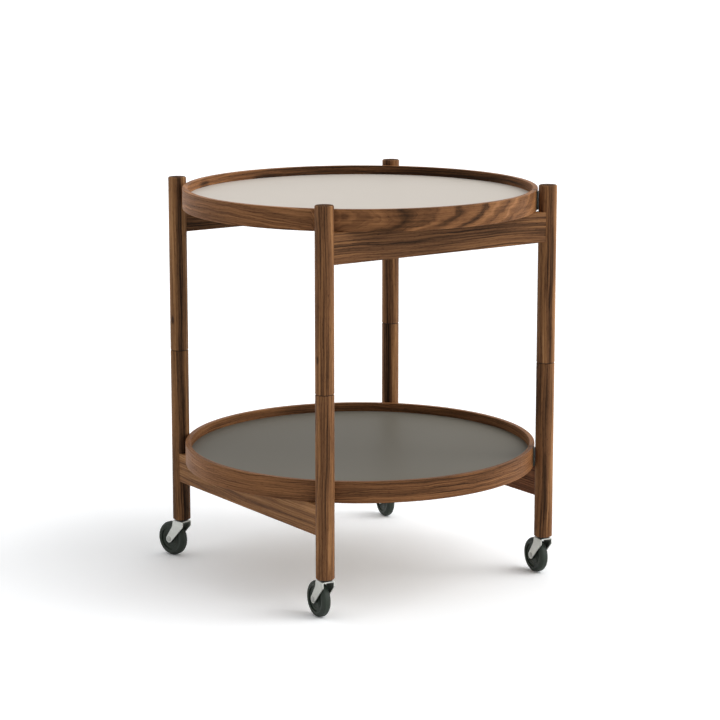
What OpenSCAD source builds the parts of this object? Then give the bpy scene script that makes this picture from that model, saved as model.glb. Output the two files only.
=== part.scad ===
// Folding tray table on castors: two round reversible trays in a frame of four
// half-frames, which pivot on each other half-way up the legs.
// The origin is on the floor below the centre of the trays. +X points to the
// right leg, +Y to the back leg and +Z up. Sizes are in millimetres.

/* [Trays] */
// Outside diameter of both trays
tray_d = 500; // [420:5:600]
// Height of the bent wooden rim
rim_h = 29.6; // [24:0.2:40]
// Thickness of the rim
rim_t = 7.5; // [6.5:0.5:14]
// Rounding of the rim's edges
rim_round = 1; // [0.5:0.1:2]
// Depth of the groove in the rim that holds the board
groove_depth = 3.5; // [3:0.5:5]
// Thickness of the core board
core_t = 2.6; // [2:0.2:5]
// Thickness of the laminate on each side of the board
laminate_t = 0.7; // [0.5:0.1:1.5]
// Width of the seam where the two ends of the bent rim meet
seam_w = 2; // [1.5:0.1:3]
// Width of the seam strip's outer flange
strip_w = 10; // [6:1:16]
// How far the seam strip stops short of the rim's top and bottom
strip_short = 2; // [0:0.1:5]
// Play between the seam strip and the leg that it faces
strip_play = 0.3; // [0.2:0.1:0.6]

/* [Legs and rails] */
// Diameter of the round legs
leg_d = 25.6; // [22:0.2:34]
// Gap between the edge of a tray and each leg
tray_gap = 2.3; // [1.5:0.1:5]
// Length of a lower half-leg
lower_leg_l = 252; // [220:1:300]
// Length of an upper half-leg
upper_leg_l = 250.8; // [220:0.2:300]
// Bevel round the open ends of the legs
leg_bevel = 1.2; // [0.5:0.1:2]
// Bevel round the leg ends that meet at the pivot
pivot_bevel = 0.7; // [0.3:0.1:1.5]
// Height of a rail
rail_h = 42; // [36:1:60]
// Thickness of a rail
rail_t = 17; // [14:0.5:20]
// Rounding along the rail's long edges
rail_round = 1; // [0.5:0.1:2]
// Height of the lower rail's top edge above the foot of the leg
lower_rail_rise = 100.6; // [80:0.2:140]
// Depth of the upper rail's top edge below the top of the leg
upper_rail_drop = 36.9; // [33:0.1:60]
// Thickness of the tenon at each end of a rail
tenon_t = 8; // [6:0.5:10]
// Height of the tenon
tenon_h = 30; // [20:1:34]
// Length of the tenon inside the leg
tenon_l = 9; // [6:0.5:11]
// Glue gap round the tenon and under the shoulder of the rail
glue_gap = 0.05; // [0.02:0.01:0.1]

/* [Leg pivots] */
// Diameter of the steel pivot pin
pin_d = 8; // [6:0.5:10]
// Length of the pin in each half-leg
pin_l = 32; // [20:1:50]
// Running clearance round the pin in the lower half-leg, on the radius
pin_clear = 0.05; // [0.02:0.01:0.1]
// Thickness of the washer between the two halves of a leg
pivot_washer_t = 0.8; // [0.5:0.1:2]
// How far the washer stands back from the surface of the leg
washer_back = 1.8; // [1:0.1:4]

/* [Castors] */
// Diameter of the wheel over its tyre
wheel_d = 50; // [40:1:60]
// Width of the tyre
wheel_w = 13; // [11:0.5:18]
// Rounding of the tyre's edges next to the hub
tyre_lip = 0.6; // [0.3:0.1:1]
// Rounding of the tread's edges
tread_round = 5; // [3:0.5:5.5]
// Thickness of the tyre, from the hub's rim to the tread
tyre_t = 6; // [4:0.5:8]
// Depth of the recess in each face of the hub
hub_recess = 2.2; // [1:0.1:3]
// Width of each raised ring on the face of the hub
hub_ring_w = 1.1; // [0.8:0.1:2]
// Height of each raised ring
hub_ring_h = 0.7; // [0.4:0.1:1]
// Step from the boss to the first ring, and on to the next one
hub_ring_step = 3.2; // [2.5:0.1:4]
// Width of the hub's rim, inside the tyre
hub_rim_w = 1.5; // [1:0.1:2.5]
// Diameter of the boss at the centre of the hub
boss_d = 12; // [10:0.5:14]
// Horizontal distance from the swivel axis back to the axle
trail = 18; // [12:0.5:26]
// Gap between the boss and each arm of the fork
boss_clear = 0.3; // [0.3:0.05:0.6]
// Gap between the tyre and each arm of the fork
fork_clear = 1.3; // [1:0.1:2.5]
// Thickness of the fork's sheet steel
fork_t = 1.5; // [1.2:0.1:2]
// Length of the fork's crown
crown_l = 19; // [17:0.5:24]
// Gap between the top of the wheel and the top of the crown
crown_gap = 4.8; // [4:0.2:8]
// Height of the fork's cheek, straight down from the crown
cheek_h = 8.2; // [6:0.2:12]
// Rounding of the cheek's lower front corner
cheek_round = 3; // [1:0.5:5]
// Slope of the cheek's back edge, measured at its lower end
heel_back = 1.6; // [0:0.1:3]
// How much lower the cheek ends at the back than at the front
heel_drop = 1.5; // [0:0.1:3]
// Radius of the hollow between the cheek and the arm
heel_round = 8; // [4:0.5:12]
// Radius of the arm's end round the axle
arm_end_r = 5.4; // [4.5:0.1:7]
// Bend radius on the outside of the fork's crown
fork_bend = 2.2; // [1.8:0.1:3]
// Diameter of the riveted axle
axle_d = 5; // [4:0.5:6]
// Diameter of the axle's rivet heads
axle_head_d = 7.6; // [6.5:0.1:9]
// Height of the axle's rivet heads
axle_head_h = 1.1; // [0.8:0.1:2]
// Diameter of the castor's stem
stem_d = 8; // [6:0.5:10]
// Length of the stem inside the leg
stem_l = 34; // [20:1:50]
// Bevel round the upper end of the stem
stem_bevel = 1; // [0.5:0.1:2]
// Diameter of the rivet head under the crown
stem_head_d = 11; // [10:0.5:13]
// Height of the rivet head under the crown
stem_head_h = 1.8; // [1:0.1:2.2]
// Thickness of the washer between the leg and the fork
swivel_washer_t = 2.2; // [1.5:0.1:4]
// Diameter of that washer
swivel_washer_d = 17; // [14:0.5:20]
// Running clearance round the axle and the stem, on the radius
swivel_clear = 0.05; // [0.02:0.01:0.1]
// Way that the right castor trails, from +X towards +Y
yaw_right = 128; // [0:1:360]
// Way that the back castor trails
yaw_back = 124; // [0:1:360]
// Way that the left castor trails
yaw_left = 151; // [0:1:360]
// Way that the front castor trails
yaw_front = 130; // [0:1:360]

/* [Hidden] */
$fn = 96;
TINY = 0.01;
SIDES = ["right", "back", "left", "front"];
YAWS = [yaw_right, yaw_back, yaw_left, yaw_front];
EVERY_SIDE = [0 : 3];
UPPER_RAILS = [["upper_rail_back_left", 1], ["upper_rail_front_right", 3]];
LOWER_RAILS = [["lower_rail_back_right", 0], ["lower_rail_front_left", 2]];
TRAYS = ["upper_tray", "lower_tray"];

function sided(name) = [for (side = SIDES) str(name, "_", side)];
function trayed(name) = [for (tray = TRAYS) str(tray, "_", name)];

// How far a cut runs past the faces that it opens
PAST = 1;
// Gap between pieces that are fast in each other, or rest on each other
seat_gap = 0.02;
// Depth of a hole beyond the end of its pin or stem
hole_spare = 1;

// Heights, worked out from the floor up
axle_z = wheel_d / 2;
crown_z = wheel_d + crown_gap;
foot_z = crown_z + swivel_washer_t;
pivot_z = foot_z + lower_leg_l;
upper_leg_z = pivot_z + pivot_washer_t;
table_h = upper_leg_z + upper_leg_l;
lower_rail_top = foot_z + lower_rail_rise;
upper_rail_top = table_h - upper_rail_drop;
lower_tray_z = lower_rail_top + seat_gap;
upper_tray_z = upper_rail_top + seat_gap;

// Plan of the frame
leg_r = leg_d / 2;
leg_ring_r = tray_d / 2 + tray_gap + leg_r;
rail_span = leg_ring_r * sqrt(2);
rail_offset = leg_ring_r / sqrt(2);

// Tray
rim_inner_r = tray_d / 2 - rim_t;
board_t = core_t + 2 * laminate_t;
board_gap = 0.1;
strip_t = tray_gap - strip_play;
strip_fit = 0.05;

// Castor
fork_inner_w = wheel_w + 2 * fork_clear;
fork_w = fork_inner_w + 2 * fork_t;
boss_w = fork_inner_w - 2 * boss_clear;
hub_r = wheel_d / 2 - tyre_t;
HUB_RINGS = [for (k = [1, 2]) boss_d / 2 + k * hub_ring_step];

WALNUT = "#7a4f33";
STEEL = "#b9bab6";
DARK_STEEL = "#6d6e6c";
BLACK_NYLON = "#242625";
LIGHT_LAMINATE = "#d2cac2";
DARK_LAMINATE = "#6f6b64";
CORE_BOARD = "#b59b78";
RUBBER = "#2e3431";
HUB_NYLON = "#3a413d";

function unit(v) = v / norm(v);

// Points of the arc that rounds one corner of a path
function corner_arc(before, corner, after, r, steps) =
    let (
        a = unit(before - corner),
        b = unit(after - corner),
        half = acos(a * b) / 2,
        centre = corner + unit(a + b) * r / sin(half),
        start = corner + a * r / tan(half) - centre,
        turn = (a[0] * b[1] - a[1] * b[0]) > 0 ? -1 : 1,
        sweep = turn * (180 - 2 * half)
    )
    [for (k = [0 : steps])
        let (t = sweep * k / steps)
        centre + [
            start[0] * cos(t) - start[1] * sin(t),
            start[0] * sin(t) + start[1] * cos(t)
        ]];

// Polygon whose corners are [x, y, radius], each rounded to its radius
function rounded(corners, steps = 6) =
    let (n = len(corners))
    [for (i = [0 : n - 1])
        let (
            c = corners[i],
            p = corners[(i + n - 1) % n],
            q = corners[(i + 1) % n],
            at = [c[0], c[1]]
        )
        each c[2] <= 0 ? [at]
            : corner_arc([p[0], p[1]], at, [q[0], q[1]], c[2], steps)];

// Where the line from p touches a circle, on its left (side = 1) or right (-1)
function touch(p, centre, r, side) =
    let (
        d = p - centre,
        a = atan2(d[1], d[0]) + side * acos(r / norm(d))
    )
    centre + r * [cos(a), sin(a)];

// Box section with rounded edges, centred on x, that stands on y = 0
module box_section(w, h, r) {
    polygon(rounded([
        [-w / 2, 0, r],
        [w / 2, 0, r],
        [w / 2, h, r],
        [-w / 2, h, r]
    ]));
}

// Places its children at one leg, with +X outwards
module at_leg(i) {
    rotate([0, 0, 90 * i])
        translate([leg_ring_r, 0, 0])
            children();
}

// Places its children along the rail from leg i to the next one, with its
// middle at the origin and its length along Y
module at_rail(i) {
    rotate([0, 0, 90 * i + 45])
        translate([rail_offset, 0, 0])
            children();
}

// Round post with a bevel at each end
module post(length, low_bevel, high_bevel) {
    rotate_extrude()
        polygon([
            [0, 0],
            [leg_r - low_bevel, 0],
            [leg_r, low_bevel],
            [leg_r, length - high_bevel],
            [leg_r - high_bevel, length],
            [0, length]
        ]);
}

// Tenon, or with extra > 0 its mortise, from the leg's axis outwards along +X
module tenon(extra) {
    reach = leg_r - tenon_l - extra;
    translate([reach, -tenon_t / 2 - extra, -tenon_h / 2 - extra])
        cube([leg_d, tenon_t + 2 * extra, tenon_h + 2 * extra]);
}

// Mortise at the middle of a rail's height, turned to the next leg (ccw) or back
module mortise(rail_top, ccw) {
    translate([0, 0, rail_top - rail_h / 2])
        rotate([0, 0, ccw ? 135 : -135])
            tenon(glue_gap);
}

module upper_leg(i) {
    color(WALNUT)
        at_leg(i)
            difference() {
                translate([0, 0, upper_leg_z])
                    post(upper_leg_l, pivot_bevel, leg_bevel);
                translate([0, 0, upper_leg_z - TINY])
                    cylinder(h = pin_l + hole_spare + TINY, d = pin_d + 2 * seat_gap);
                mortise(upper_rail_top, i % 2 == 1);
            }
}

module lower_leg(i) {
    color(WALNUT)
        at_leg(i)
            difference() {
                translate([0, 0, foot_z])
                    post(lower_leg_l, leg_bevel, pivot_bevel);
                translate([0, 0, pivot_z - pin_l - hole_spare])
                    cylinder(h = pin_l + hole_spare + TINY, d = pin_d + 2 * pin_clear);
                translate([0, 0, foot_z - TINY])
                    cylinder(h = stem_l + hole_spare + TINY, d = stem_d + 2 * seat_gap);
                mortise(lower_rail_top, i % 2 == 0);
            }
}

// Board from leg to leg: its shoulders are hollowed to the round of the legs,
// and its tenons go on into them
module rail(i, top) {
    color(WALNUT)
        at_rail(i)
            translate([0, 0, top - rail_h]) {
                difference() {
                    rotate([90, 0, 0])
                        linear_extrude(height = rail_span, center = true)
                            box_section(rail_t, rail_h, rail_round);
                    for (end = [-1, 1])
                        translate([0, end * rail_span / 2, -PAST])
                            cylinder(h = rail_h + 2 * PAST, r = leg_r + glue_gap);
                }
                for (end = [-1, 1])
                    translate([0, end * rail_span / 2, rail_h / 2])
                        rotate([0, 0, -90 * end])
                            tenon(0);
            }
}

// Steel pin, fast in the upper half-leg and free in the lower one
module pivot_pin(i) {
    color(STEEL)
        at_leg(i)
            translate([0, 0, pivot_z - pin_l])
                cylinder(h = 2 * pin_l + pivot_washer_t, d = pin_d);
}

module pivot_washer(i) {
    color(BLACK_NYLON)
        at_leg(i)
            translate([0, 0, pivot_z])
                difference() {
                    cylinder(h = pivot_washer_t, r = leg_r - washer_back);
                    translate([0, 0, -TINY])
                        cylinder(h = pivot_washer_t + 2 * TINY, d = pin_d + 2 * seat_gap);
                }
}

// Slot where the ends of the bent rim meet, at the right leg
module seam(w) {
    translate([rim_inner_r - PAST, -w / 2, -PAST])
        cube([rim_t + 2 * PAST, w, rim_h + 2 * PAST]);
}

// Bent rim: rounded edges, a groove for the board and a seam
module rim(z) {
    color(WALNUT)
        translate([0, 0, z])
            difference() {
                rotate_extrude()
                    translate([rim_inner_r + rim_t / 2, 0])
                        box_section(rim_t, rim_h, rim_round);
                translate([0, 0, (rim_h - core_t) / 2 - strip_fit])
                    cylinder(h = core_t + 2 * strip_fit, r = rim_inner_r + groove_depth);
                seam(seam_w);
            }
}

// Board that the laminates are glued to; its edge sits in the rim's groove
module core(z) {
    color(CORE_BOARD)
        translate([0, 0, z + (rim_h - core_t) / 2])
            cylinder(h = core_t, r = rim_inner_r + groove_depth - board_gap);
}

// One laminate face, on the upper (side = 1) or lower (side = -1) side
module laminate(z, side, colour) {
    color(colour)
        translate([0, 0, z + rim_h / 2 + (side > 0 ? core_t / 2 : -board_t / 2)])
            cylinder(h = laminate_t, r = rim_inner_r - board_gap);
}

// Strip with a T section: its web fills the seam, and its flange covers it
// outside, in the gap to the leg
module seam_strip(z) {
    length = rim_h - 2 * strip_short;
    color(BLACK_NYLON)
        translate([0, 0, z])
            difference() {
                union() {
                    translate([rim_inner_r + TINY, strip_fit - seam_w / 2, strip_short])
                        cube([rim_t + 1, seam_w - 2 * strip_fit, length]);
                    translate([tray_d / 2 + TINY, -strip_w / 2, strip_short])
                        linear_extrude(height = length)
                            polygon(rounded([
                                [0, 0, 0],
                                [strip_t - TINY, 0, strip_t / 2],
                                [strip_t - TINY, strip_w, strip_t / 2],
                                [0, strip_w, 0]
                            ]));
                }
                translate([0, 0, (rim_h - core_t) / 2 - strip_fit])
                    cylinder(h = core_t + 2 * strip_fit, r = rim_inner_r + groove_depth);
            }
}

// Places its children at one castor: the origin is on the floor below the
// swivel, and +X is the way it trails
module at_castor(i) {
    at_leg(i)
        rotate([0, 0, YAWS[i] - 90 * i])
            children();
}

// Places its children on the axle, with +Z along it
module at_axle() {
    translate([trail, 0, axle_z])
        rotate([90, 0, 0])
            children();
}

// Stem, fast in the leg, with a rivet head that carries the fork
module castor_stem(i) {
    neck = foot_z - crown_z + fork_t;
    color(STEEL)
        at_castor(i)
            translate([0, 0, crown_z - fork_t - stem_head_h])
                rotate_extrude()
                    polygon([
                        [0, 0],
                        [(stem_head_d - stem_head_h) / 2, 0],
                        [stem_head_d / 2, stem_head_h / 2],
                        [stem_head_d / 2, stem_head_h - seat_gap],
                        [stem_d / 2, stem_head_h - seat_gap],
                        [stem_d / 2, stem_head_h + neck + stem_l - stem_bevel],
                        [stem_d / 2 - stem_bevel, stem_head_h + neck + stem_l],
                        [0, stem_head_h + neck + stem_l]
                    ]);
}

module swivel_washer(i) {
    color(BLACK_NYLON)
        at_castor(i)
            translate([0, 0, crown_z])
                difference() {
                    cylinder(h = swivel_washer_t, d = swivel_washer_d);
                    translate([0, 0, -TINY])
                        cylinder(h = swivel_washer_t + 2 * TINY, d = stem_d + 2 * seat_gap);
                }
}

// Side view of the fork, with x along the trail and y up from the axle
module fork_side() {
    crown_y = crown_z - axle_z;
    front = -crown_l / 2;
    back = crown_l / 2;
    axle = [trail, 0];
    nose = [front, crown_y - cheek_h];
    heel = [back + heel_back, crown_y - cheek_h - heel_drop];
    low = touch(nose, axle, arm_end_r, 1);
    high = touch(heel, axle, arm_end_r, -1);
    polygon(rounded([
        [front, crown_y, 0],
        [nose[0], nose[1], cheek_round],
        [low[0], low[1], 0],
        [high[0], high[1], 0],
        [heel[0], heel[1], heel_round],
        [back, crown_y, 0]
    ]));
    translate(axle)
        circle(r = arm_end_r);
}

// Folded sheet fork: a channel bent over the crown, cut to its side view
module castor_fork(i) {
    color(STEEL)
        at_castor(i)
            difference() {
                intersection() {
                    translate([0, fork_w / 2, axle_z])
                        rotate([90, 0, 0])
                            linear_extrude(height = fork_w)
                                fork_side();
                    translate([-crown_l, 0, 0])
                        rotate([90, 0, 90])
                            linear_extrude(height = 3 * crown_l + trail)
                                difference() {
                                    polygon(rounded([
                                        [-fork_w / 2, 0, 0],
                                        [fork_w / 2, 0, 0],
                                        [fork_w / 2, crown_z, fork_bend],
                                        [-fork_w / 2, crown_z, fork_bend]
                                    ]));
                                    polygon(rounded([
                                        [-fork_inner_w / 2, -PAST, 0],
                                        [fork_inner_w / 2, -PAST, 0],
                                        [fork_inner_w / 2, crown_z - fork_t, fork_bend - fork_t],
                                        [-fork_inner_w / 2, crown_z - fork_t, fork_bend - fork_t]
                                    ]));
                                }
                }
                translate([0, 0, crown_z - 2 * fork_t])
                    cylinder(h = 3 * fork_t, d = stem_d + 2 * swivel_clear);
                at_axle()
                    cylinder(h = 2 * fork_w, d = axle_d + 2 * seat_gap, center = true);
            }
}

// Axle with a domed rivet head outside each arm, fast in the fork
module castor_axle(i) {
    end = fork_w / 2 + seat_gap;
    color(DARK_STEEL)
        at_castor(i)
            at_axle()
                rotate_extrude()
                    polygon([
                        [0, -end - axle_head_h],
                        [axle_head_d / 4, -end - axle_head_h],
                        [axle_head_d / 2, -end - axle_head_h / 2],
                        [axle_head_d / 2, -end],
                        [axle_d / 2, -end],
                        [axle_d / 2, end],
                        [axle_head_d / 2, end],
                        [axle_head_d / 2, end + axle_head_h / 2],
                        [axle_head_d / 4, end + axle_head_h],
                        [0, end + axle_head_h]
                    ]);
}

// Hub: a boss between the arms, a recessed web with two raised rings, and a rim
module wheel_hub(i) {
    web = wheel_w / 2 - hub_recess;
    color(HUB_NYLON)
        at_castor(i)
            at_axle()
                difference() {
                    union() {
                        cylinder(h = boss_w, d = boss_d, center = true);
                        cylinder(h = 2 * web, r = hub_r, center = true);
                        for (r = HUB_RINGS)
                            difference() {
                                cylinder(h = 2 * (web + hub_ring_h), r = r + hub_ring_w, center = true);
                                cylinder(h = wheel_w, r = r, center = true);
                            }
                        difference() {
                            cylinder(h = wheel_w - hub_ring_h, r = hub_r, center = true);
                            cylinder(h = wheel_w, r = hub_r - hub_rim_w, center = true);
                        }
                    }
                    cylinder(h = 2 * boss_w, d = axle_d + 2 * swivel_clear, center = true);
                }
}

// Tyre with a rounded tread, round the hub
module wheel_tyre(i) {
    inner = hub_r + seat_gap;
    outer = wheel_d / 2;
    color(RUBBER)
        at_castor(i)
            at_axle()
                rotate_extrude()
                    polygon(rounded([
                        [inner, -wheel_w / 2, tyre_lip],
                        [outer, -wheel_w / 2, tread_round],
                        [outer, wheel_w / 2, tread_round],
                        [inner, wheel_w / 2, tyre_lip]
                    ], 8));
}

for (i = EVERY_SIDE) {
    side = SIDES[i];
    upper_leg(i);
    lower_leg(i);
    pivot_pin(i);
    pivot_washer(i);
    castor_stem(i);
    swivel_washer(i);
    castor_fork(i);
    castor_axle(i);
    wheel_hub(i);
    wheel_tyre(i);
}
for (r = UPPER_RAILS)
    rail(r[1], upper_rail_top);
for (r = LOWER_RAILS)
    rail(r[1], lower_rail_top);

rim(upper_tray_z);  // upper_tray_rim
core(upper_tray_z);  // upper_tray_core
laminate(upper_tray_z, 1, LIGHT_LAMINATE);  // upper_tray_light_laminate
laminate(upper_tray_z, -1, DARK_LAMINATE);  // upper_tray_dark_laminate
seam_strip(upper_tray_z);  // upper_tray_seam_strip
rim(lower_tray_z);  // lower_tray_rim
core(lower_tray_z);  // lower_tray_core
laminate(lower_tray_z, -1, LIGHT_LAMINATE);  // lower_tray_light_laminate
laminate(lower_tray_z, 1, DARK_LAMINATE);  // lower_tray_dark_laminate
seam_strip(lower_tray_z);  // lower_tray_seam_strip
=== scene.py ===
import math
import bpy
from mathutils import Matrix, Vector

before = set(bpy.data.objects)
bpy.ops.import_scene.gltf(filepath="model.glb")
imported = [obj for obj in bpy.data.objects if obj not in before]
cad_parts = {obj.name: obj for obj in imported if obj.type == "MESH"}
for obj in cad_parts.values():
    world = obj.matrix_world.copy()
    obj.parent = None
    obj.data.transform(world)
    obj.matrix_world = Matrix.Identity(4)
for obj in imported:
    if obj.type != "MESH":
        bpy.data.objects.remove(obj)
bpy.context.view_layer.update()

# Camera: a long lens a little above the upper tray, turned slightly to the right leg's side, as the
# photograph was taken. The shift only centres the table in the frame.
camera_azimuth = math.radians(10.11)
camera_pitch = math.radians(10.468)
camera_distance = 3.3348
camera_height = 0.9715
camera_data = bpy.data.cameras.new("camera")
camera_data.sensor_width = 36
camera_data.lens = 119.14
camera_data.shift_y = -0.05
camera_data.clip_start = 0.1
camera_data.clip_end = 200
camera = bpy.data.objects.new("camera", camera_data)
camera.location = (camera_distance * math.sin(camera_azimuth),
                   -camera_distance * math.cos(camera_azimuth), camera_height)
camera.rotation_euler = (math.pi / 2 - camera_pitch, 0, camera_azimuth)
bpy.context.scene.collection.objects.link(camera)
bpy.context.scene.camera = camera


# Studio: a white room that lights from all round, less from the camera's side, with a very wide
# soft box on the right and a narrower strip of light near it. The paper floor is white, and keeps
# the table's broad shadow.
def srgb(hex_colour):
    """Linear colour of an sRGB hex value"""
    channels = [int(hex_colour[i:i + 2], 16) / 255 for i in (1, 3, 5)]
    return [c / 12.92 if c <= 0.04045 else ((c + 0.055) / 1.055) ** 2.4 for c in channels] + [1]


def add_node(tree, kind, inputs=(), ramp=(), **settings):
    """Adds one node with its settings. An input takes a number, a colour, a socket, or a node for
    its first output. Numbered inputs go from the top: MapRange has the value, the two ends that it
    comes from, and the two that it goes to. ramp is a list of (position, hex colour or plain level)."""
    made = tree.nodes.new("ShaderNode" + kind)
    for name, value in settings.items():
        setattr(made, name, value)
    for key, value in dict(inputs).items():
        if isinstance(value, bpy.types.Node):
            value = value.outputs[0]
        if isinstance(value, bpy.types.NodeSocket):
            tree.links.new(value, made.inputs[key])
        else:
            made.inputs[key].default_value = value
    for index, (position, colour) in enumerate(ramp):
        stops = made.color_ramp.elements
        stop = stops[index] if index < 2 else stops.new(position)
        stop.position = position
        stop.color = srgb(colour) if isinstance(colour, str) else [colour] * 3 + [1]
    return made


def empty_tree(owner):
    """The node tree of a material or a world, with nothing in it"""
    owner.use_nodes = True
    owner.node_tree.nodes.clear()
    return owner.node_tree


def seen_directly(tree):
    """1 for what is seen by itself, in a gloss or through glass, and 0 for light on a dull surface"""
    path = add_node(tree, "LightPath")
    seen = add_node(tree, "Math", {0: path.outputs["Is Camera Ray"], 1: path.outputs["Is Glossy Ray"]},
                    operation="MAXIMUM")
    return add_node(tree, "Math", {0: seen, 1: path.outputs["Is Transmission Ray"]}, operation="MAXIMUM")


room_light = 0.88
front_light = 0.12
front_begins = 0.35
front_is_full = 0.85
toward_camera = (math.sin(camera_azimuth) * math.cos(camera_pitch),
                 -math.cos(camera_azimuth) * math.cos(camera_pitch), math.sin(camera_pitch))
room = bpy.data.worlds.new("white_room")
bpy.context.scene.world = room
bpy.context.scene.view_settings.view_transform = "Standard"
walls = empty_tree(room)
direction = add_node(walls, "TexCoord").outputs["Generated"]
to_front = add_node(walls, "VectorMath", {0: direction, 1: toward_camera}, operation="DOT_PRODUCT")
wall_level = add_node(walls, "MapRange", {0: to_front.outputs["Value"], 1: front_begins, 2: front_is_full,
                                          3: room_light, 4: front_light}, interpolation_type="SMOOTHSTEP")
room_level = add_node(walls, "MapRange", {0: seen_directly(walls), 3: wall_level, 4: 1.0})
white_wall = add_node(walls, "Background", {"Color": srgb("#ffffff"), "Strength": room_level})
add_node(walls, "OutputWorld", {"Surface": white_wall})

# name: strength, width, turn from the camera's right, and tilt from straight above, in degrees
lamps = {"soft_box": (1.80, 76, -19, 60), "side_strip": (0.27, 20, -6, 62)}
for name, (strength, width, turn, tilt) in lamps.items():
    lamp_data = bpy.data.lights.new(name, "SUN")
    lamp_data.energy = strength
    lamp_data.angle = math.radians(width)
    turn = camera_azimuth + math.radians(turn)
    tilt = math.radians(tilt)
    toward_lamp = Vector((math.sin(tilt) * math.cos(turn), math.sin(tilt) * math.sin(turn), math.cos(tilt)))
    lamp = bpy.data.objects.new(name, lamp_data)
    lamp.rotation_mode = "QUATERNION"
    lamp.rotation_quaternion = toward_lamp.to_track_quat("Z", "Y")
    bpy.context.scene.collection.objects.link(lamp)

# Seen by itself the paper is a little over white, so that only the table's shadow takes it below,
# and slightly cool, because the walnut tints the light that falls on it
white_to_the_eye = (1.205, 1.22, 1.235, 1)
floor_reach = 60
paper = bpy.data.materials.new("white_paper")
sheet = empty_tree(paper)
lit_paper = add_node(sheet, "BsdfDiffuse", {"Color": srgb("#f2f2f2")})
seen_paper = add_node(sheet, "BsdfDiffuse", {"Color": white_to_the_eye})
paper_face = add_node(sheet, "MixShader", {0: seen_directly(sheet), 1: lit_paper, 2: seen_paper})
add_node(sheet, "OutputMaterial", {"Surface": paper_face})
floor_mesh = bpy.data.meshes.new("paper_floor")
floor_corners = [(x * floor_reach, y * floor_reach, 0) for x, y in ((-1, -1), (1, -1), (1, 1), (-1, 1))]
floor_mesh.from_pydata(floor_corners, [], [(0, 1, 2, 3)])
floor_mesh.materials.append(paper)
paper_floor = bpy.data.objects.new("paper_floor", floor_mesh)
bpy.context.scene.collection.objects.link(paper_floor)


# Legs: eight half-legs turned from solid walnut, sanded and oiled, with the grain straight up.
# A small bevel runs round each end, and the end grain shows on top.
def straight_board(centre, along, across, through):
    """Coordinates in metres of a straight board: along its grain, across its face, through it"""
    def place(tree):
        point = add_node(tree, "TexCoord").outputs["Object"]
        local = add_node(tree, "VectorMath", {0: point, 1: centre}, operation="SUBTRACT")
        parts = [add_node(tree, "VectorMath", {0: local, 1: axis}, operation="DOT_PRODUCT").outputs["Value"]
                 for axis in (along, across, through)]
        return add_node(tree, "CombineXYZ", dict(enumerate(parts)))
    return place


# The walnut's figure. A rate is in waves per metre, along, across and through the board, or for the
# streaks along it, across the rings and through it. A depth is a change of lightness, from 0 to 1.
seed_step = (1.37, 0.71, 0.53)  # takes each board from its own place in the tree
streak_seed_step = 3.1
bend_rate = (4.5, 12, 12)  # the trunk's own bends, some 220 mm long
ripple_rate = (38, 60, 60)  # quick waves of the grain, 26 mm long
streak_rate = (7.0, 420.0, 40.0)  # streaks about 140 mm long and 2.4 mm wide
streak_depth = 1.6
ring_line = (0.5, 0.95)  # the part of a year over which the wood darkens to its line
ring_depth = (0.03, -0.13)
fibre_rate = (13, 620, 620)  # 77 mm long and 1.6 mm wide, coarser than real fibres, so that they show
fibre_depth = 0.8
fibre_average = 0.38  # what the fibres add on average
pore_rate = (130, 1900, 1900)  # 8 mm long; 0.2 mm wide on the real wood and drawn 0.4 mm wide
pore_depth = -0.22
pore_from, pore_to = 0.60, 0.68  # a noise over these is a pore
pore_dip = -0.8  # against the fibres' relief
patch_edge = (0.3, 1.0)  # a patch of pigment fades out between these shares of its half size
end_grain_facing = (0.75, 0.95)  # how squarely a face cuts the grain, from none to all end grain
end_grain_depth = (-0.65, -0.015)  # it drinks more oil: the share of its tone lost, and a bit more
oiled_roughness = 0.46
pore_roughness = 0.72
end_grain_duller = 0.45  # added to the roughness


def wandering_grain(tree, seeded, wander, wave):
    """How far the grain strays sideways, in metres: slow bends, with small quick waves on top"""
    strays = []
    for rate, reach, detail, roughness in ((bend_rate, wander, 1.0, 0.4), (ripple_rate, wave, 2.0, 0.5)):
        waves = add_node(tree, "VectorMath", {0: seeded, 1: rate}, operation="MULTIPLY")
        waves = add_node(tree, "TexNoise", {"Vector": waves, "Scale": 1.0, "Detail": detail,
                                            "Roughness": roughness})
        # A noise stays mostly within 0.2 of 0.5, so this goes from -reach to reach
        strays.append(add_node(tree, "Math", {0: waves.outputs[0], 1: reach * 5, 2: reach * -2.5},
                               operation="MULTIPLY_ADD"))
    return add_node(tree, "Math", {0: strays[0], 1: strays[1]}, operation="ADD")


def from_the_heart(tree, board, along, heart, path):
    """Distance from the heart of the tree, less that of the board's middle line, in metres"""
    away = add_node(tree, "VectorMath", {0: board, 1: (0, *heart)}, operation="SUBTRACT")
    for axis in (1, 2) if path else ():
        first, last = path[0][0], path[-1][0]
        least = min(stop[axis] for stop in path)
        spread = max(stop[axis] for stop in path) - least or 1
        share = add_node(tree, "MapRange", {0: along, 1: first, 2: last})
        moved = add_node(tree, "ValToRGB", {"Fac": share}, ramp=[
            ((stop[0] - first) / (last - first), (stop[axis] - least) / spread) for stop in path])
        moved = add_node(tree, "Math", {0: moved, 1: -spread, 2: -least}, operation="MULTIPLY_ADD")
        moved = add_node(tree, "CombineXYZ", {axis: moved})
        away = add_node(tree, "VectorMath", {0: away, 1: moved}, operation="ADD")
    away = add_node(tree, "VectorMath", {0: away, 1: (0, 1, 1)}, operation="MULTIPLY")
    reach = add_node(tree, "VectorMath", {0: away}, operation="LENGTH").outputs["Value"]
    return add_node(tree, "Math", {0: reach, 1: -math.hypot(*heart)}, operation="ADD")


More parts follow.
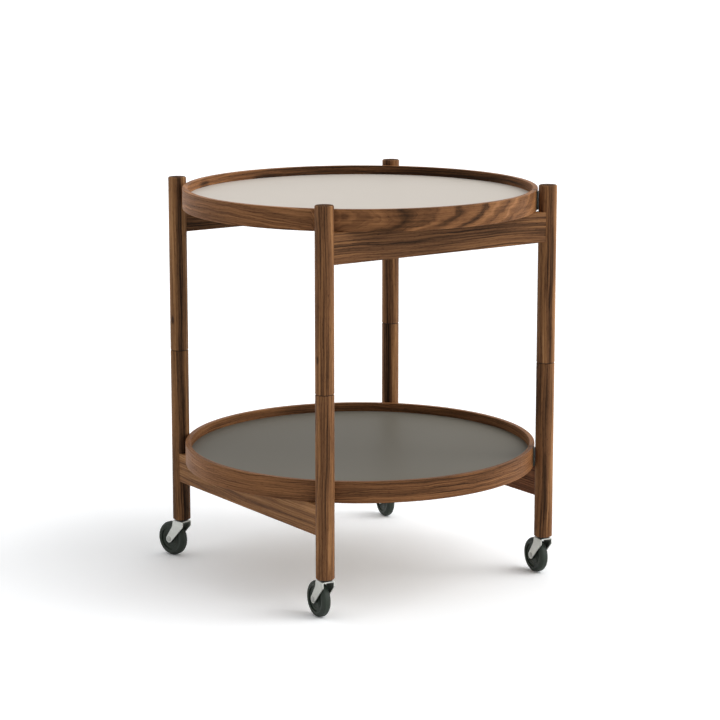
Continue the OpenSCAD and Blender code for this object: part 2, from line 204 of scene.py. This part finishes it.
def oiled_walnut(name, place, heart, seed, tones, bands, drift=0.0, wander=0.003, wave=0.0004,
                 year=0.0036, streaks=0.8, path=(), patches=(), end_grain=None, sheen=0.4):
    """Walnut under oil. Its pigment lies in bands that follow the growth rings, with fine darker ring
    lines, long fibre streaks, and short open pores that hold no gloss. On a leg the bands also hold
    painted light and shade across it.
    heart: middle of the tree, across and through the board. bands: (distance from the board's middle
    line in mm, lightness 0 to 1). drift: how far they slope, per metre of board. wander, wave: how far
    the grain bends and ripples. year: width of a ring. path: (place along the board, how far the heart
    has moved across and through it). patches: (spot, half size, change of lightness). end_grain: the
    direction of the grain, where a board's ends show. sheen: the glow of the fuzz that sanding
    leaves, along the board's outline."""
    made = bpy.data.materials.new(name)
    tree = empty_tree(made)
    board = place(tree)
    split = add_node(tree, "SeparateXYZ", {0: board})
    along, through = split.outputs[0], split.outputs[2]
    seeded = add_node(tree, "VectorMath", {0: board, 1: [seed * step for step in seed_step]},
                      operation="ADD")
    stray = wandering_grain(tree, seeded, wander, wave)
    radius = from_the_heart(tree, board, along, heart, path)
    radius = add_node(tree, "Math", {0: along, 1: drift, 2: radius}, operation="MULTIPLY_ADD")
    radius = add_node(tree, "Math", {0: radius, 1: stray}, operation="ADD")

    # Pigment bands, some 4 to 15 mm wide. On a leg they are also painted light and shade: lighter
    # towards its two sides, darker down its middle
    half = max(abs(distance) for distance, lightness in bands) / 1000
    lane = add_node(tree, "MapRange", {0: radius, 1: -half, 2: half})
    tone = add_node(tree, "ValToRGB", {"Fac": lane}, ramp=[
        (0.5 + distance / 2000 / half, lightness) for distance, lightness in bands])

    # Streaks within the bands
    lanes = add_node(tree, "Math", {0: radius, 1: streak_rate[1]}, operation="MULTIPLY")
    length = add_node(tree, "Math", {0: along, 1: streak_rate[0]}, operation="MULTIPLY")
    inward = add_node(tree, "Math", {0: through, 1: streak_rate[2], 2: seed * streak_seed_step},
                      operation="MULTIPLY_ADD")
    streak = add_node(tree, "CombineXYZ", {0: lanes, 1: length, 2: inward})
    streak = add_node(tree, "TexNoise", {"Vector": streak, "Scale": 1.0, "Detail": 3.0, "Roughness": 0.6})
    tone = add_node(tree, "Math", {0: streak.outputs[0], 1: streaks * streak_depth, 2: tone},
                    operation="MULTIPLY_ADD")

    # Growth rings: each year ends in a thin darker line
    years = add_node(tree, "Math", {0: radius, 1: year}, operation="DIVIDE")
    season = add_node(tree, "Math", {0: years}, operation="FRACT")
    ring = add_node(tree, "MapRange", {0: season, 1: ring_line[0], 2: ring_line[1],
                                       3: ring_depth[0], 4: ring_depth[1]})
    tone = add_node(tree, "Math", {0: tone, 1: ring}, operation="ADD")

    # Fibres. The last step takes off what the streaks and fibres add on average
    fibre = add_node(tree, "VectorMath", {0: seeded, 1: fibre_rate}, operation="MULTIPLY")
    fibre = add_node(tree, "TexNoise", {"Vector": fibre, "Scale": 1.0, "Detail": 3.0, "Roughness": 0.65})
    tone = add_node(tree, "Math", {0: fibre.outputs[0], 1: fibre_depth, 2: tone}, operation="MULTIPLY_ADD")
    tone = add_node(tree, "Math", {0: tone, 1: -fibre_average - streaks * streak_depth / 2}, operation="ADD")

    # Pores: short dark dashes
    dash = add_node(tree, "VectorMath", {0: seeded, 1: pore_rate}, operation="MULTIPLY")
    pore = add_node(tree, "TexNoise", {"Vector": dash, "Scale": 1.0, "Detail": 1.0})
    pore = add_node(tree, "MapRange", {0: pore.outputs[0], 1: pore_from, 2: pore_to})
    tone = add_node(tree, "Math", {0: pore, 1: pore_depth, 2: tone}, operation="MULTIPLY_ADD")

    # Patches that make the wood darker or lighter, which follow the grain as it strays
    strayed = add_node(tree, "CombineXYZ", {1: stray})
    strayed = add_node(tree, "VectorMath", {0: board, 1: strayed}, operation="ADD")
    for spot, size, change in patches:
        away = add_node(tree, "VectorMath", {0: strayed, 1: spot}, operation="SUBTRACT")
        away = add_node(tree, "VectorMath", {0: away, 1: [1 / side for side in size]}, operation="MULTIPLY")
        away = add_node(tree, "VectorMath", {0: away}, operation="LENGTH").outputs["Value"]
        patch = add_node(tree, "MapRange", {0: away, 1: patch_edge[0], 2: patch_edge[1], 3: change, 4: 0.0},
                         interpolation_type="SMOOTHSTEP")
        tone = add_node(tree, "Math", {0: tone, 1: patch}, operation="ADD")

    # End grain, where the surface faces along the grain
    soaked = 0.0
    if end_grain:
        facing = add_node(tree, "TexCoord").outputs["Normal"]
        facing = add_node(tree, "VectorMath", {0: facing, 1: end_grain}, operation="DOT_PRODUCT")
        facing = add_node(tree, "Math", {0: facing.outputs["Value"]}, operation="ABSOLUTE")
        soaked = add_node(tree, "MapRange", {0: facing, 1: end_grain_facing[0], 2: end_grain_facing[1]})
        darker = add_node(tree, "Math", {0: tone, 1: end_grain_depth[0], 2: end_grain_depth[1]},
                          operation="MULTIPLY_ADD")
        tone = add_node(tree, "Math", {0: soaked, 1: darker, 2: tone}, operation="MULTIPLY_ADD")

    colour = add_node(tree, "ValToRGB", {"Fac": tone}, ramp=tones)
    dull = add_node(tree, "MapRange", {0: pore, 3: oiled_roughness, 4: pore_roughness})
    dull = add_node(tree, "Math", {0: soaked, 1: end_grain_duller, 2: dull}, operation="MULTIPLY_ADD")
    relief = add_node(tree, "Math", {0: pore, 1: pore_dip, 2: fibre.outputs[0]}, operation="MULTIPLY_ADD")
    bump = add_node(tree, "Bump", {"Strength": 0.35, "Distance": 0.0002, "Height": relief})
    wood = add_node(tree, "BsdfPrincipled", {"Base Color": colour, "Roughness": dull, "IOR": 1.45,
                                             "Specular IOR Level": 0.07, "Normal": bump,
                                             "Sheen Weight": sheen, "Sheen Roughness": 0.35,
                                             "Sheen Tint": srgb("#c08048")})
    add_node(tree, "OutputMaterial", {"Surface": wood})
    return made


def clothe(node_name, material):
    """Gives a CAD piece its material"""
    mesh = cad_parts[node_name].data
    mesh.materials.clear()
    mesh.materials.append(material)


leg_ring = 0.2651  # radius of the circle of the legs' axes
leg_angles = {"right": 0, "back": 90, "left": 180, "front": 270}
leg_middles = {"upper": 0.4345, "lower": 0.1825}
# A leg's bands were read from the photograph, so its board is laid square to that view
across_the_leg = (math.cos(camera_azimuth), math.sin(camera_azimuth), 0)
through_the_leg = (math.sin(camera_azimuth), -math.cos(camera_azimuth), 0)
tan_walnut = [(0.0, "#281a10"), (0.25, "#4d3421"), (0.5, "#734f34"), (0.75, "#8e6540"), (1.0, "#aa7d55")]
grey_walnut = [(0.0, "#26190f"), (0.25, "#4a3322"), (0.5, "#6e4d32"), (0.75, "#88613e"), (1.0, "#a37952")]
# How each half-leg was cut from the tree, and the bands and patches that it shows. The bands are
# partly grain and partly painted light and shade: lighter towards the leg's two sides, darker down
# the middle that faces the camera
leg_boards_and_painted_light = {
    "upper_leg_front": dict(
        heart=(-0.07, 0.02), tones=tan_walnut, seed=3.0, drift=0.012,
        bands=[(-13, 0.50), (-10, 0.66), (-7, 0.42), (-5, 0.37), (-2.5, 0.50), (0.5, 0.39), (3, 0.46),
               (7, 0.66), (10, 0.64), (13, 0.6)],
        patches=[((-0.078, -0.0095, 0.008), (0.008, 0.003, 0.008), -0.32)]),
    "lower_leg_front": dict(
        heart=(-0.07, 0.02), tones=tan_walnut, seed=7.7, drift=-0.010,
        bands=[(-13, 0.52), (-10, 0.56), (-7, 0.48), (-4, 0.44), (0, 0.38), (3, 0.46), (6, 0.58),
               (8, 0.60), (13, 0.56)],
        patches=[((-0.085, 0.006, 0.011), (0.05, 0.003, 0.02), 0.22)]),
    "upper_leg_right": dict(
        heart=(-0.06, 0.03), tones=tan_walnut, seed=11.0, drift=0.006,
        bands=[(-13, 0.50), (-9, 0.68), (-5, 0.56), (-1, 0.32), (2, 0.28), (5, 0.60), (9, 1.0), (11, 0.92),
               (13, 0.58)],
        patches=[((0.0, -0.002, 0.012), (0.045, 0.0035, 0.02), -0.22),
                 ((-0.03, 0.004, 0.012), (0.03, 0.0025, 0.02), -0.2)]),
    "lower_leg_right": dict(
        heart=(-0.06, 0.03), tones=tan_walnut, seed=15.7, drift=-0.02,
        bands=[(-13, 0.48), (-10, 0.50), (-7, 0.38), (-4, 0.25), (-1, 0.38), (2, 0.60), (5, 0.78),
               (8, 0.90), (10.5, 0.84), (13, 0.54)],
        patches=[((-0.110, 0.0085, 0.009), (0.045, 0.005, 0.012), -0.24),
                 ((-0.110, -0.001, 0.012), (0.040, 0.004, 0.02), 0.12)]),
    "upper_leg_back": dict(
        heart=(-0.06, -0.02), tones=tan_walnut, seed=19.0, drift=0.006,
        bands=[(-13, 0.5), (-9, 0.80), (-5, 0.5), (0, 0.28), (3, 0.34), (7, 0.56), (10, 0.6), (13, 0.45)]),
    "lower_leg_back": dict(
        heart=(-0.06, -0.02), tones=tan_walnut, seed=23.7, drift=0.006,
        bands=[(-13, 0.6), (-9, 0.70), (-5, 0.38), (-2, 0.20), (1, 0.10), (4, 0.15), (8, 0.66), (13, 0.6)]),
    "upper_leg_left": dict(
        heart=(-0.07, 0.03), tones=grey_walnut, seed=27.0, drift=0.006,
        bands=[(-13, 0.6), (-9, 0.96), (-5, 0.52), (-2, 0.24), (1, 0.12), (3, 0.30), (6, 0.66), (9, 0.86),
               (13, 0.55)],
        patches=[((-0.08, -0.0092, 0.009), (0.009, 0.0035, 0.01), -0.42)]),
    "lower_leg_left": dict(
        heart=(-0.07, 0.03), tones=grey_walnut, seed=31.7, drift=0.012,
        bands=[(-13, 0.5), (-9, 0.74), (-5, 0.50), (-2, 0.34), (1, 0.24), (5, 0.42), (9, 0.68), (13, 0.6)],
        # The patch makes the leg darker towards its foot
        patches=[((-0.10, 0.002, 0), (0.07, 0.022, 0.022), -0.26)]),
}
for leg, leg_wood_and_painted_light in leg_boards_and_painted_light.items():
    half, _, side = leg.split("_")
    angle = math.radians(leg_angles[side])
    middle = (leg_ring * math.cos(angle), leg_ring * math.sin(angle), leg_middles[half])
    board = straight_board(middle, (0, 0, 1), across_the_leg, through_the_leg)
    clothe(leg, oiled_walnut("oiled_walnut_" + leg, board, wander=0.0015, end_grain=(0, 0, 1), sheen=0.12,
                             **leg_wood_and_painted_light))


# Rails: four upright boards of the same walnut, planed and lightly rounded along their edges, with
# the grain along them. Their hollowed shoulders are glued against the round legs.
rail_middle = 0.18745  # from the table's axis to the middle of a rail
rail_turns = {"front_right": 315, "back_left": 135, "front_left": 225, "back_right": 45}  # degrees
rail_heights = {"upper": 0.5027, "lower": 0.1366}
red_walnut = [(0.0, "#29170e"), (0.25, "#4f301e"), (0.5, "#754a30"), (0.75, "#90603f"), (1.0, "#ac7855")]
rail_boards = {
    "upper_rail_front_right": dict(
        heart=(-0.09, 0.02), tones=tan_walnut, seed=35.0, drift=0.030,
        bands=[(-26, 0.5), (-17, 0.42), (-10, 0.50), (-4, 0.36), (2, 0.28), (4, 0.62), (7, 0.24),
               (12, 0.52), (17, 0.40), (22, 0.62), (30, 0.5)]),
    "upper_rail_back_left": dict(
        heart=(0.06, 0.04), tones=tan_walnut, seed=43.0, drift=0.01,
        bands=[(-25, 0.3), (-10, 0.4), (-3, 0.22), (3, 0.42), (10, 0.26), (25, 0.4)]),
    "lower_rail_front_left": dict(
        heart=(0.09, 0.03), tones=tan_walnut, seed=51.0, drift=-0.02,
        bands=[(-28, 0.74), (-16, 0.88), (-10, 0.58), (-4, 0.76), (2, 0.52), (9, 0.76), (15, 0.58),
               (28, 0.72)]),
    "lower_rail_back_right": dict(
        heart=(0.05, -0.04), tones=red_walnut, seed=59.0, drift=0.01,
        bands=[(-25, 0.4), (-10, 0.5), (-3, 0.3), (3, 0.55), (10, 0.35), (25, 0.5)]),
}
for rail, wood_of_rail in rail_boards.items():
    half, _, sides = rail.split("_", 2)
    angle = math.radians(rail_turns[sides])
    out = (math.cos(angle), math.sin(angle), 0)
    middle = (rail_middle * out[0], rail_middle * out[1], rail_heights[half])
    board = straight_board(middle, (-out[1], out[0], 0), (0, 0, 1), out)
    clothe(rail, oiled_walnut("oiled_walnut_" + rail, board, wander=0.005, **wood_of_rail))


# Tray rims: one long strip of walnut each, steamed and bent into a ring, with the grain running
# round it. A groove inside holds the board, and the top edge is lightly rounded.
def bent_strip(height):
    """Coordinates of a strip bent into a ring: round it from the seam, up it, and through it"""
    def place(tree):
        point = add_node(tree, "SeparateXYZ", {0: add_node(tree, "TexCoord").outputs["Object"]})
        x, y, z = point.outputs
        back_x = add_node(tree, "Math", {0: x, 1: -1.0}, operation="MULTIPLY")
        back_y = add_node(tree, "Math", {0: y, 1: -1.0}, operation="MULTIPLY")
        turn = add_node(tree, "Math", {0: back_y, 1: back_x}, operation="ARCTAN2")
        round_it = add_node(tree, "Math", {0: turn, 1: rim_middle}, operation="MULTIPLY")
        up_it = add_node(tree, "Math", {0: z, 1: -height}, operation="ADD")
        ground = add_node(tree, "CombineXYZ", {0: x, 1: y})
        reach = add_node(tree, "VectorMath", {0: ground}, operation="LENGTH").outputs["Value"]
        through_it = add_node(tree, "Math", {0: reach, 1: -rim_middle}, operation="ADD")
        return add_node(tree, "CombineXYZ", {0: round_it, 1: up_it, 2: through_it})
    return place


rim_middle = 0.24625  # radius to the middle of a rim's wall
tray_middles = {"upper": 0.5385, "lower": 0.1724}
rim_walnut = [(0.0, "#28190f"), (0.25, "#4e3420"), (0.5, "#744e32"), (0.75, "#906440"), (1.0, "#ac7c55")]
# On the right of the front leg the upper strip was cut near the heart, so its rings end in arches
rim_strips = {
    "upper": dict(
        heart=(0.0, -0.030), seed=67.0, wander=0.003, wave=0.0008, year=0.005,
        bands=[(0, 0.42), (3.2, 0.42), (3.9, 0.24), (4.5, 0.28), (5.2, 0.50), (8, 0.57), (11, 0.50),
               (12.6, 0.42), (14.1, 0.28), (14.7, 0.29), (15.3, 0.38), (17.4, 0.38), (18.0, 0.50),
               (19.0, 0.48), (19.4, 0.33), (19.9, 0.44), (22, 0.48), (24.0, 0.48), (24.6, 0.39),
               (25.1, 0.48), (26, 0.60), (34, 0.60), (42, 0.66), (50, 0.56), (55, 0.46), (59, 0.62),
               (63, 0.44), (67, 0.62), (71, 0.42), (75, 0.56), (80, 0.46)],
        path=[(-0.80, 0.090, 0.0), (0.02, 0.077, 0.0), (0.11, 0.086, 0.0), (0.165, 0.088, 0.0),
              (0.22, 0.086, 0.0), (0.368, 0.074, 0.0), (0.398, 0.004, 0.0), (0.780, 0.014, -0.038)],
        # The first patch makes the inner face of the wall darker round the back half
        patches=[((-0.40, 0.006, -0.0040), (0.36, 0.030, 0.0030), -0.40),
                 ((-0.05, 0.004, -0.0040), (0.022, 0.012, 0.0030), -0.30),
                 ((-0.10, -0.002, -0.0040), (0.030, 0.006, 0.0030), -0.26),
                 ((-0.19, 0.004, -0.0040), (0.035, 0.006, 0.0030), -0.26),
                 ((0.409, 0.007, 0.004), (0.013, 0.006, 0.010), -0.30)]),
    "lower": dict(
        heart=(0.060, -0.030), seed=75.0, drift=0.01, wander=0.004, wave=0.0009, year=0.0024, streaks=0.65,
        bands=[(-60, 0.54), (-40, 0.62), (-25, 0.52), (-15, 0.64), (-7, 0.46), (0, 0.58), (8, 0.46),
               (18, 0.58), (30, 0.46), (60, 0.58)],
        # The first patch makes the inner face of the wall darker round the back half
        patches=[((-0.40, 0.006, -0.0040), (0.30, 0.030, 0.0030), -0.16),
                 ((0.20, 0.000, 0.0040), (0.20, 0.040, 0.0030), 0.07),
                 ((0.56, 0.000, 0.0040), (0.24, 0.040, 0.0030), -0.08)]),
}
for half, wood_of_rim in rim_strips.items():
    clothe(half + "_tray_rim", oiled_walnut("oiled_walnut_" + half + "_rim", bent_strip(tray_middles[half]),
                                            tones=rim_walnut, **wood_of_rim))


# Tray boards: a thin core board between two sheets of laminate, one light and one dark, so that
# each tray can be turned over. The sheets are satin, with a fine even press texture.
def pressed_laminate(name, colour, roughness, gloss):
    """High-pressure laminate: one even colour with a fine pebble from the press plate, which
    spreads reflections into soft patches. The pebble is 1.1 mm, coarser than the real 0.3 mm, and
    the clouds in the colour and gloss are 70 mm across."""
    made = bpy.data.materials.new(name)
    tree = empty_tree(made)
    point = add_node(tree, "TexCoord").outputs["Object"]
    cloud = add_node(tree, "TexNoise", {"Vector": point, "Scale": 14.0, "Detail": 3.0})
    pebble = add_node(tree, "TexNoise", {"Vector": point, "Scale": 900.0, "Detail": 2.0})
    mottle = add_node(tree, "Math", {0: cloud.outputs[0], 1: 0.05, 2: 0.975}, operation="MULTIPLY_ADD")
    mottle = add_node(tree, "Math", {0: pebble.outputs[0], 1: 0.05, 2: mottle}, operation="MULTIPLY_ADD")
    tint = add_node(tree, "VectorMath", {0: srgb(colour)[:3], "Scale": mottle}, operation="SCALE")
    satin = add_node(tree, "Math", {0: cloud.outputs[0], 1: 0.06, 2: roughness - 0.03},
                     operation="MULTIPLY_ADD")
    bump = add_node(tree, "Bump", {"Strength": 0.12, "Distance": 0.0001, "Height": pebble.outputs[0]})
    face = add_node(tree, "BsdfPrincipled", {"Base Color": tint, "Roughness": satin, "IOR": 1.5,
                                             "Specular IOR Level": gloss, "Normal": bump})
    add_node(tree, "OutputMaterial", {"Surface": face})
    return made


light_laminate = pressed_laminate("light_laminate", "#c6beb4", 0.46, 0.10)
dark_laminate = pressed_laminate("dark_laminate", "#726e64", 0.47, 0.05)
# The core is bare pale wood, with a faint figure
core_wood = [(0.0, "#a88a62"), (0.5, "#b89a72"), (1.0, "#c4a980")]
for half, height in tray_middles.items():
    tray = half + "_tray"
    clothe(tray + "_light_laminate", light_laminate)
    clothe(tray + "_dark_laminate", dark_laminate)
    core = straight_board((0, 0, height), (1, 0, 0), (0, 1, 0), (0, 0, 1))
    clothe(tray + "_core", oiled_walnut("bare_board_" + tray, core, heart=(0.3, 0.1), seed=83.0,
                                        tones=core_wood, bands=[(-99, 0.5), (99, 0.5)]))


# Black nylon: the strips over the seams of the rims, and the washers between the halves of the
# legs and over the forks, all moulded with a satin skin.
noise_low, noise_high = 0.3, 0.7  # a noise stays mostly between these


def moulded_nylon(name, colour):
    """Black nylon with the slight orange peel of its mould, 0.7 mm across, and scuffs of 6 mm that
    make it a little lighter or duller"""
    made = bpy.data.materials.new(name)
    tree = empty_tree(made)
    point = add_node(tree, "TexCoord").outputs["Object"]
    peel = add_node(tree, "TexNoise", {"Vector": point, "Scale": 1400.0, "Detail": 2.0})
    scuff = add_node(tree, "TexNoise", {"Vector": point, "Scale": 160.0, "Detail": 3.0})
    level = add_node(tree, "MapRange", {0: scuff.outputs[0], 1: noise_low, 2: noise_high, 3: 0.88, 4: 1.12})
    tint = add_node(tree, "VectorMath", {0: srgb(colour)[:3], "Scale": level}, operation="SCALE")
    dull = add_node(tree, "MapRange", {0: scuff.outputs[0], 1: noise_low, 2: noise_high, 3: 0.40, 4: 0.52})
    bump = add_node(tree, "Bump", {"Strength": 0.2, "Distance": 0.0001, "Height": peel.outputs[0]})
    skin = add_node(tree, "BsdfPrincipled", {"Base Color": tint, "Roughness": dull, "IOR": 1.53,
                                             "Specular IOR Level": 0.3, "Normal": bump})
    add_node(tree, "OutputMaterial", {"Surface": skin})
    return made


strip_nylon = moulded_nylon("strip_nylon", "#3a3d33")
black_nylon = moulded_nylon("black_nylon", "#191a18")
for half in tray_middles:
    clothe(half + "_tray_seam_strip", strip_nylon)
for side in leg_angles:
    clothe("pivot_washer_" + side, black_nylon)
    clothe("swivel_washer_" + side, black_nylon)


# Steel: the pivot pins and the castor stems are turned and bare, the forks are cut and folded from
# sheet and zinc plated, and the axles are riveted over outside the arms.
line_stretch = 0.06  # a drawn line is 17 times as long as it is wide


def worked_steel(name, colour, roughness, line_gap, stretched):
    """Satin steel: a bright metal with fine drawn lines, which run along the stretched axes, and a
    faint cloud from plating, 4.5 mm across"""
    made = bpy.data.materials.new(name)
    tree = empty_tree(made)
    point = add_node(tree, "TexCoord").outputs["Object"]
    line_rate = [1 / line_gap * (line_stretch if drawn_out else 1) for drawn_out in stretched]
    lines = add_node(tree, "VectorMath", {0: point, 1: line_rate}, operation="MULTIPLY")
    lines = add_node(tree, "TexNoise", {"Vector": lines, "Scale": 1.0, "Detail": 3.0})
    cloud = add_node(tree, "TexNoise", {"Vector": point, "Scale": 220.0, "Detail": 4.0})
    level = add_node(tree, "MapRange", {0: cloud.outputs[0], 1: noise_low, 2: noise_high, 3: 0.90, 4: 1.06})
    tint = add_node(tree, "VectorMath", {0: srgb(colour)[:3], "Scale": level}, operation="SCALE")
    dull = add_node(tree, "MapRange", {0: cloud.outputs[0], 1: noise_low, 2: noise_high,
                                       3: roughness - 0.06, 4: roughness + 0.06})
    bump = add_node(tree, "Bump", {"Strength": 0.25, "Distance": 0.00005, "Height": lines.outputs[0]})
    metal = add_node(tree, "BsdfPrincipled", {"Base Color": tint, "Metallic": 1.0, "Roughness": dull,
                                              "Normal": bump})
    add_node(tree, "OutputMaterial", {"Surface": metal})
    return made


bare_steel = worked_steel("turned_steel", "#b4b4b0", 0.30, 0.0004, (True, True, False))
zinc_plate = worked_steel("zinc_plate", "#c3c5bf", 0.36, 0.0005, (False, False, True))
rivet_steel = worked_steel("rivet_steel", "#a6a7a2", 0.42, 0.0006, (False, False, False))
for side in leg_angles:
    clothe("pivot_pin_" + side, bare_steel)
    clothe("castor_stem_" + side, bare_steel)
    clothe("castor_fork_" + side, zinc_plate)
    clothe("castor_axle_" + side, rivet_steel)


# Wheels: a moulded nylon hub with two raised rings, and a grey rubber tyre moulded round it. Both
# show fine turning rings from their moulds.
def moulded_wheel(name, colour, ring_gap, roughness, centre, axle):
    """Rubber or nylon with the rings that its turned mould leaves, drawn coarser than the real ones
    so that they show, and a little dust in clouds of 4 mm"""
    made = bpy.data.materials.new(name)
    tree = empty_tree(made)
    point = add_node(tree, "TexCoord").outputs["Object"]
    local = add_node(tree, "VectorMath", {0: point, 1: centre}, operation="SUBTRACT")
    cross = add_node(tree, "VectorMath", {0: local, 1: axle}, operation="CROSS_PRODUCT")
    radius = add_node(tree, "VectorMath", {0: cross}, operation="LENGTH").outputs["Value"]
    rings = add_node(tree, "Math", {0: radius, 1: math.tau / ring_gap}, operation="MULTIPLY")
    rings = add_node(tree, "Math", {0: rings}, operation="SINE")
    dust = add_node(tree, "TexNoise", {"Vector": point, "Scale": 260.0, "Detail": 4.0})
    level = add_node(tree, "MapRange", {0: dust.outputs[0], 1: noise_low, 2: noise_high, 3: 0.85, 4: 1.15})
    level = add_node(tree, "Math", {0: rings, 1: 0.06, 2: level}, operation="MULTIPLY_ADD")
    tint = add_node(tree, "VectorMath", {0: srgb(colour)[:3], "Scale": level}, operation="SCALE")
    dull = add_node(tree, "MapRange", {0: dust.outputs[0], 1: noise_low, 2: noise_high,
                                       3: roughness - 0.05, 4: roughness + 0.08})
    bump = add_node(tree, "Bump", {"Strength": 0.3, "Distance": 0.0002, "Height": rings})
    skin = add_node(tree, "BsdfPrincipled", {"Base Color": tint, "Roughness": dull, "IOR": 1.5,
                                             "Specular IOR Level": 0.3, "Normal": bump})
    add_node(tree, "OutputMaterial", {"Surface": skin})
    return made


hub_nylon = ("#30382f", 0.0011, 0.46)  # colour, gap of the turning rings, roughness
tyre_rubber = ("#272f27", 0.0013, 0.55)
trail = 0.018  # from the castor's stem to its axle
axle_height = 0.025
castor_turns = {"right": 128, "back": 124, "left": 151, "front": 130}
for side, turn in castor_turns.items():
    angle = math.radians(leg_angles[side])
    turn = math.radians(turn)
    centre = (leg_ring * math.cos(angle) + trail * math.cos(turn),
              leg_ring * math.sin(angle) + trail * math.sin(turn), axle_height)
    axle = (-math.sin(turn), math.cos(turn), 0)
    clothe("wheel_hub_" + side, moulded_wheel("hub_nylon_" + side, *hub_nylon, centre, axle))
    clothe("wheel_tyre_" + side, moulded_wheel("tyre_rubber_" + side, *tyre_rubber, centre, axle))
